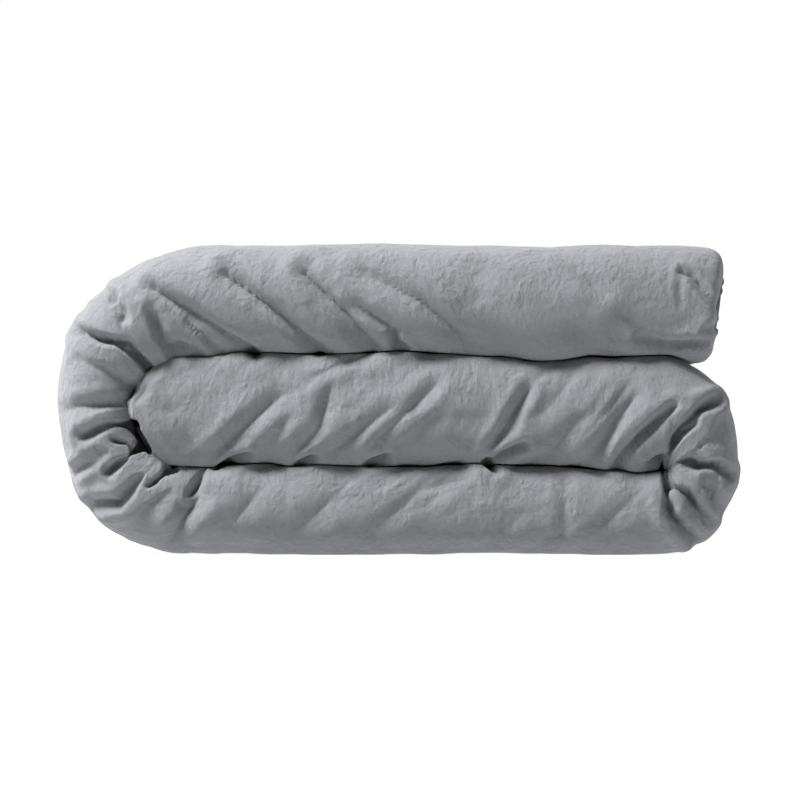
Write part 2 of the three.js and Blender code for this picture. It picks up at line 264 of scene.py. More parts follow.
def joined(inner, outer, thickness):
    """A whole cross-section from the inner ply's half and the outer ply's, each (Y, depth)."""
    return (np.concatenate([inner[0], outer[0][:, -2::-1]], 1),
            np.concatenate([inner[1], (thickness - outer[1])[:, -2::-1]], 1))


def spaced(length, first, last):
    """Shares from 0 to 1 along a run whose steps grow evenly from the first to the last."""
    count = max(2, round(2 * length / (first + last)))
    steps = np.linspace(first, last, count)
    return np.concatenate([[0], np.cumsum(steps)]) / steps.sum()


def face_section(rows, fine, coarse, inset=0.0):
    """Y and depth of the face cloth at each station, from one side seam round to the other."""
    thickness = np.linalg.norm(rows[:, 2:4] - rows[:, :2], axis=1)[:, None]
    empty = thickness / 4 * (1 - rows[:, 4:5])
    side = np.radians(np.linspace(0, 90, max(5, round(90 * MM / coarse))))[None, :]
    y_side = BACK - SIDE_TAPER + (SIDE_TAPER - inset) * np.cos(side) ** 0.9 + 0 * thickness
    depth_side = thickness / 4 - (thickness / 4 - empty - inset) * np.sin(side) ** 0.9
    flat = spaced(BACK - SIDE_TAPER - FRONT - FRONT_BULGE, fine, coarse)
    flat = (1 - flat[::-1])[None, 1:]
    y_flat = BACK - SIDE_TAPER + (FRONT + FRONT_BULGE - BACK + SIDE_TAPER) * flat + 0 * thickness
    depth_flat = empty + inset + 0 * flat
    theta = np.radians(np.linspace(90, 0, round(84 * MM / fine) + 1))[None, 1:]
    bend = 2 / 2.2
    y_bulge = FRONT + FRONT_BULGE - (FRONT_BULGE - 0.8 * empty - inset) * np.cos(theta) ** bend

    def half(pressed):
        swell = 1 + PRESSED_SWELL * pressed * rows[:, 4:5]
        bulge = thickness / 2 - (thickness / 2 - empty - inset) * swell * np.sin(theta) ** bend
        return (np.concatenate([y_side, y_flat, y_bulge], 1),
                np.concatenate([depth_side, depth_flat, np.maximum(bulge, empty + inset)], 1))

    return joined(half(1), half(rows[:, 5:6]), thickness)


def back_section(rows, step, inset=0.0):
    """Y and depth of the cloth between the plies at each station."""
    thickness = np.linalg.norm(rows[:, 2:4] - rows[:, :2], axis=1)[:, None]
    half = HAIRPIN / 2 + (thickness / 4 - HAIRPIN / 2) * (1 - rows[:, 4:5]) + inset
    side = np.radians(np.linspace(0, 90, max(5, round(80 * MM / step))))[None, :]
    y_side = BACK - SIDE_TAPER + (SIDE_TAPER - inset) * np.cos(side) ** 0.9 + 0 * thickness
    depth_side = thickness / 4 + (thickness / 4 - half) * np.sin(side) ** 0.9
    flat = np.linspace(0, 1, round((BACK - SIDE_TAPER - FRONT - FRONT_BULGE) / step))[None, 1:]
    y_flat = BACK - SIDE_TAPER + (FRONT + FRONT_BULGE - BACK + SIDE_TAPER) * flat + 0 * thickness
    depth_flat = thickness / 2 - half + 0 * flat
    theta = np.radians(np.linspace(90, 0, 6))[None, 1:]
    y_bend = FRONT + FRONT_BULGE - half * np.cos(theta)
    depth_bend = thickness / 2 - half * np.sin(theta)
    half_section = (np.concatenate([y_side, y_flat, y_bend], 1),
                    np.concatenate([depth_side, depth_flat, depth_bend], 1))
    return joined(half_section, half_section, thickness)


def lifted(rows, y, depth):
    """Points in the row frame, from Y and depth at each station."""
    across = rows[:, 2:4] - rows[:, :2]
    share = depth / np.linalg.norm(across, axis=1)[:, None]
    flat = rows[:, None, :2] + across[:, None, :] * share[..., None]
    return np.stack([flat[..., 0], y, flat[..., 1]], -1)


def bedded(points):
    """Points of the pile after its layers have sunk into each other unevenly."""
    x, z = points[..., 0], points[..., 2]
    sunk = np.zeros_like(x)
    levels = (BOTTOM_TOP + MIDDLE_BOTTOM) / 2, (MIDDLE_TOP + TOP_BOTTOM) / 2
    for seed, level in enumerate(levels):
        wave = lattice_noise(x / (75 * MM) + 9, points[..., 1] / (120 * MM) + 7, 31 + seed)
        wave = wave + 0.4 * lattice_noise(x / (28 * MM) + 9, points[..., 1] / (60 * MM), 41 + seed)
        sunk += wave * np.exp(-(((z - level) / BED_REACH) ** 2))
    left_end = np.clip((x - LEFT - LEFT_WALL) / (60 * MM), 0, 1)
    right_end = np.clip((RIGHT - 40 * MM - x) / (70 * MM), 0, 1)
    moved = points.copy()
    moved[..., 2] += BED_DEPTH * sunk * left_end * right_end
    return moved


def unit(vectors):
    """The vectors at length 1."""
    return vectors / np.maximum(np.linalg.norm(vectors, axis=-1, keepdims=True), 1e-9)


def outward(points):
    """Unit normals of a grid of points, out of the padding."""
    return unit(np.cross(np.gradient(points, axis=0), np.gradient(points, axis=1)))


# ---- How the cover's cloth lies ----------------------------------------------------------------

# Pinched creases at the front, as (X, Z) points in millimetres, with each crease's depth and width.
CREASES = [
    # Top layer, dragged down to the right.
    (((-255, 278), (-222, 256), (-191, 236), (-150, 206)), 9, 7),
    (((-258, 256), (-243, 220), (-233, 211)), 7, 6),
    (((-220, 241), (-181, 206)), 7, 6),
    (((-236, 223), (-207, 211)), 5, 5),
    (((-180, 294), (-134, 256), (-103, 229), (-83, 211)), 9, 8),
    (((-98, 294), (-57, 252), (-26, 213)), 8, 8),
    (((-47, 263), (-5, 231), (-3, 213)), 6, 6),
    (((-7, 228), (-5, 215), (6, 212)), 9, 4),
    (((-36, 296), (21, 265), (72, 218)), 5, 9),
    (((181, 296), (212, 270)), 3, 9),
    (((227, 249), (274, 218)), 3, 9),
    (((291, 293), (289, 276), (291, 256)), 1.5, 3),
    (((292, 296), (303, 291), (318, 274), (334, 257)), 6, 3.5),
    (((247, 226), (272, 219), (300, 221), (330, 221)), 5, 4),
    (((318, 232), (334, 238), (346, 236)), 7, 4),
    (((-313, 275), (-298, 260), (-279, 242)), 5, 7),
    (((-314, 265), (-295, 266), (-285, 253), (-290, 235)), 7, 4),
    (((-310, 274), (-284, 272)), 4, 4),
    (((-238, 214), (-217, 220), (-208, 211)), 3, 4),
    # Left-hand fold, gathered towards its inside.
    (((-331, 233), (-313, 225), (-280, 219), (-261, 195)), 18, 6),
    (((-289, 215), (-263, 197)), 12, 4),
    (((-348, 150), (-331, 156), (-290, 156)), 3.5, 6),
    (((-278, 134), (-270, 120), (-261, 104)), 18, 7),
    (((-247, 92), (-233, 89)), 14, 6),
    (((-328, 124), (-312, 131), (-299, 136), (-275, 136)), 12, 5),
    (((-299, 122), (-287, 116), (-274, 108)), 15, 4),
    (((-301, 88), (-272, 110)), 14, 4),
    (((-344, 85), (-322, 97)), 6, 5),
    (((-321, 53), (-291, 55), (-262, 86)), 9, 6),
    (((-260, 71), (-237, 89)), 13, 4),
    (((-218, 65), (-204, 87)), 11, 4),
    (((-333, 203), (-300, 190), (-277, 174)), 2, 7),
    (((-233, 20), (-222, 42), (-202, 73)), 6, 8),
    # Middle layer, dragged up to the right.
    (((-193, 99), (-160, 133), (-124, 166)), 4.5, 8),
    (((-108, 104), (-83, 135), (-72, 177)), 4, 7),
    (((-94, 182), (-60, 198), (-35, 203)), 3, 5),
    (((-72, 104), (-41, 130), (-5, 156)), 3.5, 6),
    (((-26, 117), (5, 146), (38, 177)), 3, 6),
    (((90, 98), (109, 131), (132, 172)), 6, 6),
    (((92, 93), (109, 104), (129, 114)), 11, 4),
    (((-194, 87), (-174, 95), (-157, 100)), 11, 4),
    (((-106, 92), (-88, 100)), 11, 4),
    (((-32, 93), (-13, 100)), 10, 4),
    (((196, 130), (238, 179)), 2.5, 8),
    (((206, 112), (222, 140), (246, 168)), 4, 7),
    (((-248, 161), (-222, 130), (-207, 104)), 2, 9),
    # Right-hand fold, gathered round its inner crease.
    (((226, 97), (234, 110), (250, 126), (284, 155)), 10, 5),
    (((279, 112), (283, 122), (292, 135), (313, 154), (327, 161)), 17, 5),
    (((262, 101), (272, 97), (276, 86)), 18, 6),
    (((284, 54), (303, 32), (308, 14)), 8, 5),
    (((322, 60), (338, 45)), 4, 7),
    (((268, 101), (280, 107), (291, 125), (307, 137)), 18, 5),
    (((269, 100), (295, 100), (307, 94), (327, 95), (340, 84)), 18, 5),
    (((274, 92), (277, 73), (277, 58), (281, 42), (305, 14)), 15, 5),
    (((280, 75), (297, 64), (318, 37)), 18, 5),
    (((264, 97), (248, 104)), 9, 5),
    # Bottom layer.
    (((-103, 27), (-57, 73)), 1.8, 10),
    (((-26, 27), (21, 68), (62, 79)), 1.8, 8),
    (((171, 79), (169, 22)), 1.6, 7),
    (((-171, 37), (-143, 68)), 1.8, 8),
    (((207, 27), (248, 68)), 1.4, 9),
    (((86, 92), (98, 84)), 10, 5),
]
NARROWEST = 3.5  # half the width of the sharpest valley, in millimetres
DEEPEST, HIGHEST = 24, 4  # limits of the creases' height, in millimetres
END_FADE = 26  # creases fade out over this many millimetres at the top layer's end
CREASE_REACH = 54 * MM  # creases fade out this far behind the front


def soft_noise(shape, cells, seed):
    """Smooth noise from -1 to 1 on a grid, with about the given number of lumps each way."""
    lattice = np.random.default_rng(seed).uniform(-1, 1, (cells[0] + 2, cells[1] + 2))
    for axis in (0, 1):
        place = np.linspace(0, cells[axis], shape[axis])
        whole = np.minimum(place.astype(int), cells[axis])
        part = place - whole
        part = part * part * (3 - 2 * part)
        part = part[:, None] if axis == 0 else part[None, :]
        near = np.take(lattice, whole, axis)
        lattice = near + (np.take(lattice, whole + 1, axis) - near) * part
    return lattice


def crease_depths(points, narrow=1.0):
    """How far the creases pull each point in, and how far the cloth beside them is pushed out."""
    x, z = points[..., 0] / MM, points[..., 2] / MM
    near_front = np.clip((FRONT + CREASE_REACH - points[..., 1]) / (30 * MM), 0, 1)
    past_end = HEM_END / MM - 4
    total = np.zeros(x.shape)
    for route, deep, wide in CREASES:
        lengths = [math.dist(a, b) for a, b in zip(route, route[1:])]
        best = np.full(x.shape, 1e9)
        share = np.zeros(x.shape)
        done = 0.0
        for (ax, az), (bx, bz), length in zip(route, route[1:], lengths):
            part = np.clip(((x - ax) * (bx - ax) + (z - az) * (bz - az)) / length**2, 0, 1)
            away = np.hypot(x - ax - part * (bx - ax), z - az - part * (bz - az))
            closer = away < best
            best = np.where(closer, away, best)
            share = np.where(closer, (done + part * length) / sum(lengths), share)
            done += length
        fade = np.sin(np.pi * np.clip(0.12 + 0.76 * share, 0, 1)) ** 0.7
        valley = np.exp(-((best / max(0.8 * wide * narrow, NARROWEST)) ** 1.25))
        lip = np.exp(-(((best - 2.2 * wide) / (1.2 * wide)) ** 2))
        total += deep * fade * (0.5 * lip - valley)
    near_end = np.where(z * MM > TOP_BOTTOM, np.clip((past_end - x) / END_FADE, 0.08, 1), 1)
    eased = np.where(total < 0, DEEPEST * np.tanh(total / DEEPEST), np.minimum(total, HIGHEST))
    return eased * near_front * near_end * MM


def lattice_noise(u, v, seed):
    """Smooth noise from -1 to 1 at any places (u, v), with about one lump to a unit."""
    lattice = np.random.default_rng(seed).uniform(-1, 1, (257, 257))
    i, j = np.floor(u).astype(int), np.floor(v).astype(int)
    a, b = (part * part * (3 - 2 * part) for part in (u - i, v - j))
    i, j = i % 256, j % 256
    low = lattice[i, j] * (1 - a) + lattice[i + 1, j] * a
    high = lattice[i, j + 1] * (1 - a) + lattice[i + 1, j + 1] * a
    return low * (1 - b) + high * b


FOLD_WANDER = 40 * MM  # how far the drawn folds bend off their straight lines


def drawn(place, degrees, long, wide, seed):
    """Cloth drawn into folds along an angle: rounded ridges up to 0.5 and sharp valleys to -0.5."""
    turn = math.radians(degrees)
    x, v = place[..., 0], place[..., 1]
    u = x + FOLD_WANDER * lattice_noise(x / (160 * MM), v / (130 * MM), seed + 50)
    along = u * math.cos(turn) + v * math.sin(turn)
    across = v * math.cos(turn) - u * math.sin(turn)
    wave = lattice_noise(along / long, across / wide, seed)
    return np.abs(wave) ** 0.62 - 0.55


# For each stretch: the angle of its folds to the duvet's length, and their height in millimetres.
FOLD_LINES = {"middle": (42, 5), "right_fold": (92, 6), "bottom": (40, 3), "fold_1": (80, 4),
              "fold_2": (92, 4.5), "fold_3": (100, 5), "fold_4": (134, 8), "top": (142, 5)}


def drawn_folds(place, rows_at):
    """The height of the folds that the cloth is drawn into, from stretch to stretch."""
    along = place[:, :1, 0]
    height = np.zeros(place.shape[:2])
    total = np.zeros_like(along)
    patches = np.clip(0.42 + 1.1 * lattice_noise(place[..., 0] / 0.11, place[..., 1] / 0.09, 5), 0, 1.3)
    for seed, (name, (degrees, deep)) in enumerate(FOLD_LINES.items()):
        first, last = (along[row] for row in rows_at[name])
        inside = np.minimum(along - first, last - along) / (45 * MM)
        share = np.clip(0.5 + inside / 2, 0, 1) ** 2 + 1e-9
        wide = drawn(place, degrees, 0.17, 0.030, 60 + seed) * deep
        narrow = drawn(place, degrees + 9, 0.07, 0.011, 80 + seed) * 1.5
        height += share * (wide * patches + narrow * (0.35 + 0.65 * patches))
        total += share
    return height / total * MM


# How the layers are dragged: lean of the drag lines, share of extra cloth across them, and their
# angle in degrees to the duvet's length.
DRAGS = {"top": (1, 0.22, 50), "fold_4": (1, 0.2, 50), "middle": (-1, 0.2, 52),
         "bottom": (-1, 0.14, 48), "right_fold": (-1, 0.10, 60)}


def drag_fields(points, rows_at, count):
    """Extra cloth at each point: along the duvet, across the drag lines, and the lines' angle."""
    x = points[..., 0] / MM
    along = np.full(x.shape, 0.03)
    drag = np.zeros(x.shape)
    slope = np.zeros(x.shape)
    patches = np.clip(0.55 + 0.9 * soft_noise(x.shape, (34, 14), 21), 0.04, 1.3)
    turned = soft_noise(x.shape, (26, 12), 22) * math.radians(24)
    across = np.linspace(-1, 1, count)[None, :]
    front = np.exp(-((across / 0.42) ** 2)) * 0.8 + 0.2
    for name, (lean, amount, degrees) in DRAGS.items():
        first, last = rows_at[name]
        part = slice(first, last + 1)
        fade = np.clip((230 - x[part]) / 300, 0.2, 1) if lean == 1 else 1.0
        drag[part] = amount * fade
        slope[part] = lean * math.radians(degrees)
    first, last = rows_at["fold_1"][0], rows_at["fold_4"][1]
    bend = np.sin(np.linspace(0, np.pi, last - first + 1))[:, None]
    inner = np.clip(1 - across, 0, 2) / 2
    along[first:last + 1] += 0.36 * bend * inner
    return along * (0.4 + 0.6 * patches), drag * patches * front, slope + turned


def settled(points, target, extra, rounds, grip=0.011, stiff=0.044):
    """Lets cloth with extra length find its folds on a soft bed, and returns where it lies."""
    along, drag, slope = extra
    n_along, n_across = np.cos(slope), np.sin(slope)

    def rest(a, b, direction):
        base = np.linalg.norm(points[b] - points[a], axis=-1)
        pull = (n_along[a] * direction[0] + n_across[a] * direction[1]) ** 2
        return base * np.sqrt(1 + 2 * along[a] * direction[0] ** 2 + 2 * drag[a] * pull)

    cut = math.sqrt(0.5)
    links = [
        (np.s_[:-1, :], np.s_[1:, :], (1, 0)),
        (np.s_[:, :-1], np.s_[:, 1:], (0, 1)),
        (np.s_[:-1, :-1], np.s_[1:, 1:], (cut, cut)),
        (np.s_[:-1, 1:], np.s_[1:, :-1], (cut, -cut)),
    ]
    springs = [(a, b, rest(a, b, way)[..., None]) for a, b, way in links]
    shape = points.shape[:2]
    ripple = soft_noise(shape, (shape[0] // 5, shape[1] // 5), 11)[..., None]
    cloth = target + outward(points) * ripple * 0.8 * MM
    for _ in range(rounds):
        shift = np.zeros_like(cloth)
        for a, b, length in springs:
            span = cloth[b] - cloth[a]
            now = np.linalg.norm(span, axis=-1, keepdims=True)
            push = span * (0.5 - 0.5 * length / np.maximum(now, 1e-6))
            shift[a] += push
            shift[b] -= push
        cloth += 0.3 * shift
        cloth[1:-1] += stiff * (cloth[:-2] + cloth[2:] - 2 * cloth[1:-1])
        cloth[:, 1:-1] += stiff * (cloth[:, :-2] + cloth[:, 2:] - 2 * cloth[:, 1:-1])
        cloth += grip * (target - cloth)
    return cloth


def kept_in_place(cloth, rows, rows_at, base, normals):
    """Stops cloth from passing into the layer that it lies on, or standing far out of the pile."""
    move = cloth - base
    out = (move * normals).sum(-1, keepdims=True)
    eased = np.where(out < 0, DEEPEST_CREASE * np.tanh(out / DEEPEST_CREASE),
                     np.minimum(out, HIGHEST_LUMP))
    cloth = cloth + normals * (eased - out)
    across = rows[:, 2:4] - rows[:, :2]
    thickness = np.linalg.norm(across, axis=1)
    way = across / thickness[:, None]
    flat = cloth[..., ::2] - rows[:, None, :2]
    depth = (flat * way[:, None]).sum(-1)
    highest = np.full(depth.shape, 1.0)
    first, last = rows_at["middle"]
    highest[first:last + 1] = thickness[first:last + 1, None]
    wanted = np.clip(depth, 0, highest)
    cloth[..., ::2] += (wanted - depth)[..., None] * way[:, None]
    cloth[..., 2] = np.maximum(cloth[..., 2], 0)
    return cloth


def outer_side(shape, rows_at):
    """1 on the outer ply round the two folds, where the cloth is pulled tight, and 0 elsewhere."""
    tight = np.zeros(shape)
    tight[rows_at["fold_1"][0]:rows_at["fold_4"][1]] = 1
    tight[slice(*rows_at["right_fold"])] = 1
    window = np.ones(31) / 31
    tight = np.apply_along_axis(np.convolve, 0, tight, window, "same")
    across = np.linspace(-1, 1, shape[1])[None, :]
    return tight * np.clip((across - 0.22) / 0.16, 0, 1)


@functools.cache
def cover_face():
    """The cover's face as it lies: base and settled points, normals, rows and their stretches."""
    sizes = bpy.context.scene.duvet_sizes
    rows, rows_at = folded_rows(sizes.thread_step)
    y, depth = face_section(rows, sizes.thread_step, 3 * sizes.thread_step)
    base = lifted(rows, y, depth)
    normals = outward(base)
    shape = base.shape[:2]
    place = cloth_place(base)
    lumps = soft_noise(shape, (22, 12), 3) * 2.4 * MM + soft_noise(shape, (60, 34), 4) * 1.1 * MM
    behind = np.clip((base[..., 1] - FRONT - FRONT_BULGE) / (90 * MM), 0, 1)
    free = (1 - 0.55 * behind) * (1 - 0.7 * outer_side(shape, rows_at))
    folds = drawn_folds(place, rows_at) * free
    lumps = lumps * (1 - 0.6 * outer_side(shape, rows_at))
    target = base + normals * (lumps + folds + crease_depths(base))[..., None]
    extra = drag_fields(base, rows_at, shape[1])
    rounds = sizes.settle_rounds
    cloth = settled(base, target, extra, rounds)
    for _ in range(6):
        cloth[1:-1] += 0.2 * (cloth[:-2] + cloth[2:] - 2 * cloth[1:-1])
        cloth[:, 1:-1] += 0.2 * (cloth[:, :-2] + cloth[:, 2:] - 2 * cloth[:, 1:-1])
    sharp = 1.15 * crease_depths(base, narrow=0.5) + 0.6 * folds
    cloth = cloth + normals * sharp[..., None]
    cloth = kept_in_place(cloth, rows, rows_at, base, normals)
    return base, cloth, rows, rows_at


# ---- Making a piece of cloth -------------------------------------------------------------------

FOLDS = ["fold_1", "fold_2", "fold_3", "fold_4"]
RIGID = {"middle": BODIES[0], "right_fold": BODIES[0], "bottom": BODIES[0], "top": BODIES[-1]}
FOLD_NODES = {"fold_1": "left_fold_low", "fold_2": "left_fold_mid", "fold_3": "left_fold_top"}
END_ROWS = 10  # the insert stops this many rows short of the cover's two ends


def thread_grid(points):
    """A bmesh grid on an array of points, and the layer that numbers its thread crossings."""
    count = points.shape[:2]
    bm = bmesh.new()
    bmesh.ops.create_grid(bm, x_segments=count[0] - 1, y_segments=count[1] - 1, size=1)
    thread = bm.verts.layers.int.new("thread")
    flat_points = points.reshape(-1, 3).tolist()
    for vert in bm.verts:
        i = round((vert.co.x + 1) / 2 * (count[0] - 1))
        j = round((vert.co.y + 1) / 2 * (count[1] - 1))
        vert[thread] = i * count[1] + j
        vert.co = flat_points[vert[thread]]
    return bm, thread


def thread_numbers(mesh):
    """Takes the numbers of the thread crossings off a mesh."""
    threads = np.empty(len(mesh.vertices), np.int32)
    mesh.attributes["thread"].data.foreach_get("value", threads)
    mesh.attributes.remove(mesh.attributes["thread"])
    return threads


def linked(name, mesh):
    """A new object of the scene."""
    piece = bpy.data.objects.new(name, mesh)
    bpy.context.scene.collection.objects.link(piece)
    return piece


def set_place(mesh, place):
    """Keeps each vertex's place in the flat cloth, for the cloth's material."""
    lay = mesh.attributes.new("cloth_place", "FLOAT_VECTOR", "POINT")
    lay.data.foreach_set("vector", place.astype(np.float32).ravel())


def cloth_mesh(name, points, normals, place, wall):
    """A sheet of cloth on a grid of points, with a thickness and the normals of the whole cloth."""
    bm, thread = thread_grid(points)
    if wall:
        inside = (points - normals * wall).reshape(-1, 3).tolist()
        edge = [e for e in bm.edges if e.is_boundary]
        copy = bmesh.ops.duplicate(bm, geom=bm.verts[:] + bm.edges[:] + bm.faces[:])["geom"]
        for vert in (g for g in copy if isinstance(g, bmesh.types.BMVert)):
            vert.co = inside[vert[thread]]
            vert[thread] = -1 - vert[thread]
        bmesh.ops.reverse_faces(bm, faces=[g for g in copy if isinstance(g, bmesh.types.BMFace)])
        edge += [g for g in copy if isinstance(g, bmesh.types.BMEdge) and g.is_boundary]
        bmesh.ops.bridge_loops(bm, edges=edge)
    mesh = bpy.data.meshes.new(name)
    bm.to_mesh(mesh)
    bm.free()
    threads = thread_numbers(mesh)
    side = np.where(threads < 0, -1.0, 1.0)[:, None]
    index = np.where(threads < 0, -1 - threads, threads)
    vertex_normals = normals.reshape(-1, 3)[index] * side
    if looks_inward(mesh, vertex_normals):
        mesh.flip_normals()
    set_place(mesh, place.reshape(-1, 3)[index])
    mesh.shade_smooth()
    mesh.normals_split_custom_set_from_vertices(vertex_normals.tolist())
    return linked(name, mesh)


def looks_inward(mesh, vertex_normals):
    """Whether a mesh's faces look the other way from the normals wanted at its vertices."""
    corners = np.empty(len(mesh.polygons), np.int32)
    mesh.polygons.foreach_get("loop_start", corners)
    vertices = np.empty(len(mesh.loops), np.int32)
    mesh.loops.foreach_get("vertex_index", vertices)
    faces = np.empty(len(mesh.polygons) * 3)
    mesh.polygons.foreach_get("normal", faces)
    return (faces.reshape(-1, 3) * vertex_normals[vertices[corners]]).sum() < 0


def laid(name, stretch, piece):
    """Fastens a piece of a rigid stretch to the body that moves it; a piece of the left-hand fold is only
    baked in place, and the directions worked out for it are not used.
    """
    if stretch in RIGID:
        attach(piece, RIGID[stretch])
        return
    k = FOLDS.index(stretch)
    inner, outer = left_fold([(-90, -30, 30, 90)[k]])
    across = unit(outer[0] - inner[0])
    along = np.array([-across[1], across[0]])
    along *= np.sign(along @ np.array([(-1, -1), (-1, 1), (1, 1), (1, 1)][k]))
    BODIES[k + 1]
    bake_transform(piece)


def cloth_place(base):
    """Where each thread crossing lies in the flat cloth, in metres along and across it."""
    steps = np.linalg.norm(np.diff(base, axis=0), axis=-1).mean(1)
    along = np.concatenate([[0], np.cumsum(steps)])
    middle = base[len(base) // 3]
    across = np.concatenate([[0], np.cumsum(np.linalg.norm(np.diff(middle, axis=0), axis=1))])
    grid = np.stack(np.meshgrid(along, across - across[-1] / 2, indexing="ij"), -1)
    return np.concatenate([grid, np.zeros(grid.shape[:2] + (1,))], -1)


def cut_up(kind, points, normals, place, rows_at, wall, material):
    """Cuts a sheet into one piece for each stretch of the duvet, and fastens the pieces of the rigid
    stretches to their bodies.
    """
    for stretch, (first, last) in rows_at.items():
        part = slice(first, last + 1)
        piece = cloth_mesh(f"{kind}_{stretch}_cloth", points[part], normals[part], place[part], wall)
        piece.data.materials.append(material)
        node = f"{kind}_{FOLD_NODES.get(stretch, stretch)}"
        if node in frame["nodes"]:
            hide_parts(node)
        laid(kind, stretch, piece)


def side_follow(face_shift, columns, reach=8):
    """How the cloth between the plies follows the face cloth that it is sewn to at both sides."""
    follow = np.zeros((len(face_shift), columns, 3))
    fade = np.linspace(1, 0, reach + 1)[:-1]
    for k, share in enumerate(fade):
        follow[:, k] = face_shift[:, 0] * share
        follow[:, -1 - k] = face_shift[:, -1] * share
    return follow


def back_points(rows, shift, step, inset=0.0):
    """The cloth between the plies, slightly rippled into the padding."""
    y, depth = back_section(rows, step, inset)
    points = lifted(rows, y, depth)
    inward = outward(points)
    ripple = np.clip(soft_noise(points.shape[:2], (70, 30), 31) + 0.2, 0, 1) * 3.5 * MM
    ripple = ripple * np.sin(np.linspace(0, np.pi, points.shape[1])) ** 0.5
    return points + inward * ripple[..., None] + side_follow(shift, points.shape[1]), -inward


def lowest_nearby(values, reach):
    """The lowest value within a few places of each one."""
    for axis in (0, 1):
        count = values.shape[axis]
        padded = np.pad(values, [(reach, reach) if way == axis else (0, 0) for way in (0, 1)], "edge")
        moved = [np.take(padded, range(k, k + count), axis) for k in range(2 * reach + 1)]
        values = np.min(moved, 0)
    return values


def padded_tube(inset, dents):
    """The insert as a grid round both plies: under the face cloth, and back along the hairpin."""
    base, cloth, rows, rows_at = cover_face()
    step = bpy.context.scene.duvet_sizes.thread_step
    y, depth = face_section(rows, step, 3 * step, inset)
    shift = cloth - base
    normals = outward(base)
    sunk = np.minimum(lowest_nearby((shift * normals).sum(-1), 3), 0)
    face = lifted(rows, y, depth) + normals * sunk[..., None]
    face = face[:, ::2]
    back, _ = back_points(rows, shift * 0.9, 4 * step, inset)
    tube = np.concatenate([face, back[:, -2:0:-1], face[:, :1]], 1)
    lay = cloth_place(base)[:, ::2]
    filler = np.zeros((len(rows), back.shape[1] - 2, 3))
    filler[..., 0] = lay[:, :1, 0]
    filler[..., 1] = np.linspace(lay[0, -1, 1], lay[0, 0, 1], back.shape[1])[None, 1:-1]
    lay = np.concatenate([lay, filler, lay[:, :1]], 1)
    dent = np.zeros(tube.shape[:2])
    for axis, pitch in ((0, 275 * MM), (1, 235 * MM)):
        away = np.abs((lay[..., axis] + pitch / 2) % pitch - pitch / 2)
        dent = np.maximum(dent, dents * np.exp(-((away / (9 * MM)) ** 1.4)))
    dent[:, face.shape[1]:-1] *= 0.3
    lumps = (soft_noise(tube.shape[:2], (90, 40), 41) - 1) * 0.7 * MM
    tube = tube + outward(tube) * (lumps - dent)[..., None]
    tube[:, -1] = tube[:, 0]
    return bedded(tube), lay, rows_at


def tube_piece(name, tube, lay):
    """A closed stretch of the insert."""
    across = tube.shape[1]
    bm, thread = thread_grid(tube)
    seam = [v for v in bm.verts if v[thread] % across in (0, across - 1)]
    bmesh.ops.remove_doubles(bm, verts=seam, dist=1e-6)
    bmesh.ops.holes_fill(bm, edges=[e for e in bm.edges if e.is_boundary], sides=0)
    bmesh.ops.triangulate(bm, faces=[f for f in bm.faces if len(f.verts) > 4])
    bmesh.ops.recalc_face_normals(bm, faces=bm.faces)
    mesh = bpy.data.meshes.new(name)
    bm.to_mesh(mesh)
    bm.free()
    set_place(mesh, lay.reshape(-1, 3)[thread_numbers(mesh)])
    mesh.shade_smooth()
    return linked(name, mesh)


def insert_pieces(kind, inset, dents, material):
    """Builds one layer of the insert, cut up like the cover."""
    tube, lay, rows_at = padded_tube(inset, dents)
    for stretch, (first, last) in rows_at.items():
        if stretch == "middle":
            first += END_ROWS
        if stretch == "top":
            last -= END_ROWS
        picked = list(range(first, last, 2)) + [last]
        piece = tube_piece(f"{kind}_{stretch}_padding", tube[picked], lay[picked])
        piece.data.materials.append(material)
        node = f"{kind}_{FOLD_NODES.get(stretch, stretch)}"
        if node in frame["nodes"]:
            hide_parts(node)
        laid(kind, stretch, piece)


# ---- Materials ---------------------------------------------------------------------------------


class Term:
    """A shader socket that arithmetic works on. Each operation adds its Math node."""

    def __init__(self, recipe, socket):
        self.recipe, self.socket = recipe, socket

    def _math(self, operation, first, second):
        return self.recipe.node("ShaderNodeMath", {"operation": operation}, {0: first, 1: second})

    def __add__(self, other):
        return self._math("ADD", self, other)

    def __sub__(self, other):
        return self._math("SUBTRACT", self, other)

    def __rsub__(self, other):
        return self._math("SUBTRACT", other, self)

    def __mul__(self, other):
        return self._math("MULTIPLY", self, other)

    def __pow__(self, other):
        return self._math("POWER", self, other)

    __radd__ = __add__
    __rmul__ = __mul__


